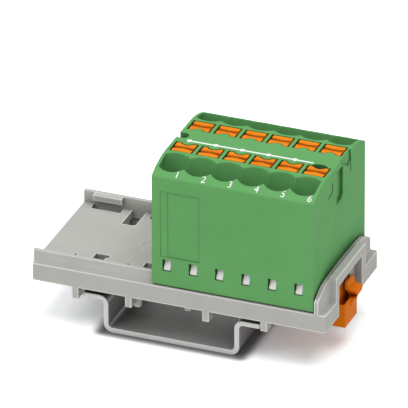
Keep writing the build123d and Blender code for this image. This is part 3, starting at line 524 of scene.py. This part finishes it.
# The buttons' copy of the orange has a steeper painted shade in their grooves.
button_polyamide = moulded_plastic(
    "orange_polyamide_buttons",
    BUTTON_ORANGE,
    BUTTON_ORANGE_DEEP,
    ORANGE_GRAIN,
    roughness=0.5,
    reach=1.8 * MM,
    shade=0.42,
    closed=0.55,
)
button_nodes = button_polyamide.node_tree.nodes
button_links = button_polyamide.node_tree.links
button_place = button_nodes["Texture Coordinate"]
button_apart = button_nodes.new("ShaderNodeSeparateXYZ")
button_links.new(button_place.outputs["Object"], button_apart.inputs["Vector"])
button_gap = button_apart.outputs["Y"]
for step, amount in (("ABSOLUTE", None), ("SUBTRACT", button_row_y), ("ABSOLUTE", None)):
    button_step = button_nodes.new("ShaderNodeMath")
    button_step.operation = step
    button_links.new(button_gap, button_step.inputs[0])
    if amount:
        button_step.inputs[1].default_value = amount
    button_gap = button_step.outputs["Value"]
# Painted shade: a darker, redder band along the middle of each button, in place of its groove's
# shading.
button_shade_band = button_nodes.new("ShaderNodeMapRange")
button_shade_band.interpolation_type = "SMOOTHSTEP"
button_shade_band.inputs["From Max"].default_value = SHADE_BAND_REACH
button_shade_band.inputs["To Min"].default_value = SHADE_BAND_SHARE
button_shade_band.inputs["To Max"].default_value = 0.0
button_links.new(button_gap, button_shade_band.inputs["Value"])
painted_light_tone(button_polyamide, BUTTON_PAINTED_SHADE, button_shade_band.outputs["Result"])
for row in ("front", "back"):
    for pole in range(1, POLES + 1):
        soft_edged(
            f"push_button_{row}_{pole}",
            BUTTON_EDGE,
            f"button_{row}_{pole}",
            button_polyamide,
        )


# Bridge line printed on the housing
# A white line with a dot at each of the first five poles says that they are one potential.
# It is pad printed on the flat middle of the top, beside the front row of buttons.
POLE_PITCH = 5.2 * MM
FIRST_POLE = -0.1 * MM
LINE_Y = -1.7 * MM
LINE_WIDTH = 0.42 * MM
LINE_OVERHANG = 0.25 * MM
LINE_PITCHES = 4.7
DOT_RADIUS = 0.5 * MM
DOT_SIDES = 24
INK = 0.02 * MM
INK_GRAIN = 0.25 * MM
INK_THIN = (0.80, 0.86, 0.80, 1)
INK_FULL = (0.93, 0.94, 0.92, 1)
INK_SPECULAR = 0.3
INK_ROUGHNESS = (0.4, 0.6)

white_ink = bpy.data.materials.new("white_ink")
white_ink.use_nodes = True
ink_nodes = white_ink.node_tree.nodes
ink_links = white_ink.node_tree.links
ink_shader = ink_nodes["Principled BSDF"]
ink_shader.inputs["Specular IOR Level"].default_value = INK_SPECULAR
ink_place = ink_nodes.new("ShaderNodeTexCoord")
ink_cover = ink_nodes.new("ShaderNodeTexNoise")
ink_cover.inputs["Scale"].default_value = 1 / INK_GRAIN
ink_links.new(ink_place.outputs["Object"], ink_cover.inputs["Vector"])
ink_tone = ink_nodes.new("ShaderNodeMix")
ink_tone.data_type = "RGBA"
ink_tone.inputs["A"].default_value = INK_THIN
ink_tone.inputs["B"].default_value = INK_FULL
ink_links.new(ink_cover.outputs["Fac"], ink_tone.inputs["Factor"])
ink_links.new(ink_tone.outputs["Result"], ink_shader.inputs["Base Color"])
ink_rough = ink_nodes.new("ShaderNodeMapRange")
ink_rough.inputs["To Min"].default_value = INK_ROUGHNESS[0]
ink_rough.inputs["To Max"].default_value = INK_ROUGHNESS[1]
ink_links.new(ink_cover.outputs["Fac"], ink_rough.inputs["Value"])
ink_links.new(ink_rough.outputs["Result"], ink_shader.inputs["Roughness"])

line_tree = bpy.data.node_groups.new("bridge_line", "GeometryNodeTree")
line_tree.interface.new_socket("Geometry", in_out="OUTPUT", socket_type="NodeSocketGeometry")
line_sockets = {}
for label, kind in (
    ("Dots", "NodeSocketInt"),
    ("Pitch", "NodeSocketFloat"),
    ("First dot", "NodeSocketVector"),
    ("Dot radius", "NodeSocketFloat"),
    ("Line length", "NodeSocketFloat"),
    ("Line width", "NodeSocketFloat"),
    ("Line centre", "NodeSocketVector"),
    ("Ink", "NodeSocketFloat"),
    ("Finish", "NodeSocketMaterial"),
):
    socket = line_tree.interface.new_socket(label, in_out="INPUT", socket_type=kind)
    line_sockets[label] = socket.identifier
line_nodes = line_tree.nodes
line_links = line_tree.links
line_input = line_nodes.new("NodeGroupInput")
line_step = line_nodes.new("ShaderNodeCombineXYZ")
line_links.new(line_input.outputs["Pitch"], line_step.inputs["X"])
line_points = line_nodes.new("GeometryNodeMeshLine")
line_points.mode = "OFFSET"
line_links.new(line_input.outputs["Dots"], line_points.inputs["Count"])
line_links.new(line_input.outputs["First dot"], line_points.inputs["Start Location"])
line_links.new(line_step.outputs["Vector"], line_points.inputs["Offset"])
line_dot = line_nodes.new("GeometryNodeMeshCylinder")
line_dot.inputs["Vertices"].default_value = DOT_SIDES
line_links.new(line_input.outputs["Dot radius"], line_dot.inputs["Radius"])
line_links.new(line_input.outputs["Ink"], line_dot.inputs["Depth"])
line_dots = line_nodes.new("GeometryNodeInstanceOnPoints")
line_links.new(line_points.outputs["Mesh"], line_dots.inputs["Points"])
line_links.new(line_dot.outputs["Mesh"], line_dots.inputs["Instance"])
line_size = line_nodes.new("ShaderNodeCombineXYZ")
line_links.new(line_input.outputs["Line length"], line_size.inputs["X"])
line_links.new(line_input.outputs["Line width"], line_size.inputs["Y"])
line_links.new(line_input.outputs["Ink"], line_size.inputs["Z"])
line_bar = line_nodes.new("GeometryNodeMeshCube")
line_links.new(line_size.outputs["Vector"], line_bar.inputs["Size"])
line_place = line_nodes.new("GeometryNodeTransform")
line_links.new(line_bar.outputs["Mesh"], line_place.inputs["Geometry"])
line_links.new(line_input.outputs["Line centre"], line_place.inputs["Translation"])
line_join = line_nodes.new("GeometryNodeJoinGeometry")
line_links.new(line_dots.outputs["Instances"], line_join.inputs["Geometry"])
line_links.new(line_place.outputs["Geometry"], line_join.inputs["Geometry"])
line_real = line_nodes.new("GeometryNodeRealizeInstances")
line_links.new(line_join.outputs["Geometry"], line_real.inputs["Geometry"])
line_finish = line_nodes.new("GeometryNodeSetMaterial")
line_links.new(line_real.outputs["Geometry"], line_finish.inputs["Geometry"])
line_links.new(line_input.outputs["Finish"], line_finish.inputs["Material"])
line_output = line_nodes.new("NodeGroupOutput")
line_links.new(line_finish.outputs["Geometry"], line_output.inputs["Geometry"])

_, housing_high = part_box("block_housing")
line_left = FIRST_POLE - LINE_OVERHANG
line_right = FIRST_POLE + LINE_PITCHES * POLE_PITCH
line_maker = bpy.data.objects.new("bridge_line_maker", bpy.data.meshes.new("bridge_line_maker"))
scene.collection.objects.link(line_maker)
line_modifier = line_maker.modifiers.new("bridge_line", "NODES")
line_modifier.node_group = line_tree
for label, value in (
    ("Dots", POLES - 1),
    ("Pitch", POLE_PITCH),
    ("First dot", (FIRST_POLE, LINE_Y, housing_high[2] + INK)),
    ("Dot radius", DOT_RADIUS),
    ("Line length", line_right - line_left),
    ("Line width", LINE_WIDTH),
    ("Line centre", ((line_left + line_right) / 2, LINE_Y, housing_high[2])),
    ("Ink", 2 * INK),
    ("Finish", white_ink),
):
    line_modifier[line_sockets[label]] = value
bpy.context.view_layer.update()
line_mesh = bpy.data.meshes.new_from_object(
    line_maker.evaluated_get(bpy.context.evaluated_depsgraph_get())
)
bpy.data.objects.remove(line_maker)
bridge_line = bpy.data.objects.new("bridge_line", line_mesh)
scene.collection.objects.link(bridge_line)
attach(bridge_line, "adapter")


# Pole numbers
# Plain numbers from 1 to 6, pad printed in white on the sloping front edge of the top.
# Each stands beside its funnel, with its foot towards the front.
NUMBER_HEIGHT = 1.35 * MM
NUMBER_X = 1.8 * MM
NUMBER_Y = -12.5 * MM
NUMBER_INK = 0.025 * MM
NUMBER_DROP = 5 * MM

housing_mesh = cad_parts["block_housing"].data
housing_skin = BVHTree.FromPolygons(
    [vertex.co for vertex in housing_mesh.vertices],
    [face.vertices for face in housing_mesh.polygons],
)
numbers = bmesh.new()
for pole in range(POLES):
    figure = bpy.data.curves.new(f"figure_{pole + 1}", "FONT")
    figure.body = str(pole + 1)
    figure.align_x = "CENTER"
    figure.align_y = "CENTER"
    figure_maker = bpy.data.objects.new(figure.name, figure)
    figure_mesh = bpy.data.meshes.new_from_object(figure_maker)
    heights = [vertex.co.y for vertex in figure_mesh.vertices]
    scale = NUMBER_HEIGHT / (max(heights) - min(heights))
    centre = Vector((FIRST_POLE + pole * POLE_PITCH + NUMBER_X, NUMBER_Y, 0))
    middle = (max(heights) + min(heights)) / 2
    for vertex in figure_mesh.vertices:
        flat = Vector((vertex.co.x, vertex.co.y - middle, 0)) * scale + centre
        flat.z = housing_high[2] + NUMBER_DROP
        place, normal, _, _ = housing_skin.ray_cast(flat, Vector((0, 0, -1)))
        vertex.co = place + normal * NUMBER_INK
    numbers.from_mesh(figure_mesh)
    bpy.data.objects.remove(figure_maker)
numbers_mesh = bpy.data.meshes.new("pole_numbers")
numbers.to_mesh(numbers_mesh)
numbers.free()
numbers_mesh.materials.clear()
numbers_mesh.materials.append(white_ink)
pole_numbers = bpy.data.objects.new("pole_numbers", numbers_mesh)
scene.collection.objects.link(pole_numbers)
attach(pole_numbers, "adapter")


# Busbar and springs
# The busbar is tin plated copper strip, stamped and bent. Its legs show in the test windows.
# The clamp springs and the latch's leaf spring are stainless strip, and give way when pressed.
TIN = (0.52, 0.52, 0.50, 1)
STAINLESS = (0.62, 0.61, 0.60, 1)
ROLLED_GRAIN = 0.2 * MM
ROLLED_SPREAD = (-0.05, 0.1)


def bright_strip(name, colour, roughness):
    """Stamped and bent strip with rolling marks in its surface."""
    material = bpy.data.materials.new(name)
    material.use_nodes = True
    nodes = material.node_tree.nodes
    links = material.node_tree.links
    metal = nodes["Principled BSDF"]
    metal.inputs["Metallic"].default_value = 1.0
    metal.inputs["Base Color"].default_value = colour
    place = nodes.new("ShaderNodeTexCoord")
    rolled = nodes.new("ShaderNodeTexNoise")
    rolled.inputs["Scale"].default_value = 1 / ROLLED_GRAIN
    links.new(place.outputs["Object"], rolled.inputs["Vector"])
    rough = nodes.new("ShaderNodeMapRange")
    rough.inputs["To Min"].default_value = roughness + ROLLED_SPREAD[0]
    rough.inputs["To Max"].default_value = roughness + ROLLED_SPREAD[1]
    links.new(rolled.outputs["Fac"], rough.inputs["Value"])
    links.new(rough.outputs["Result"], metal.inputs["Roughness"])
    return material


tin_plate = bright_strip("tin_plated_copper", TIN, roughness=0.5)
spring_steel = bright_strip("stainless_spring_strip", STAINLESS, roughness=0.28)
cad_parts["busbar"].data.materials.clear()
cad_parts["busbar"].data.materials.append(tin_plate)


def pressed_spring(node):
    """A copy of a spring in stainless strip, on the adapter's body, which stands in for it."""
    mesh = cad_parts[node].data.copy()
    mesh.materials.clear()
    mesh.materials.append(spring_steel)
    piece = bpy.data.objects.new(node + "_strip", mesh)
    scene.collection.objects.link(piece)
    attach(piece, "adapter")
    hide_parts(node)
    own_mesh(piece)


for row in ("front", "back"):
    for pole in range(1, POLES + 1):
        pressed_spring(
            f"clamp_spring_{row}_{pole}",
        )
pressed_spring(
    "latch_spring",
)
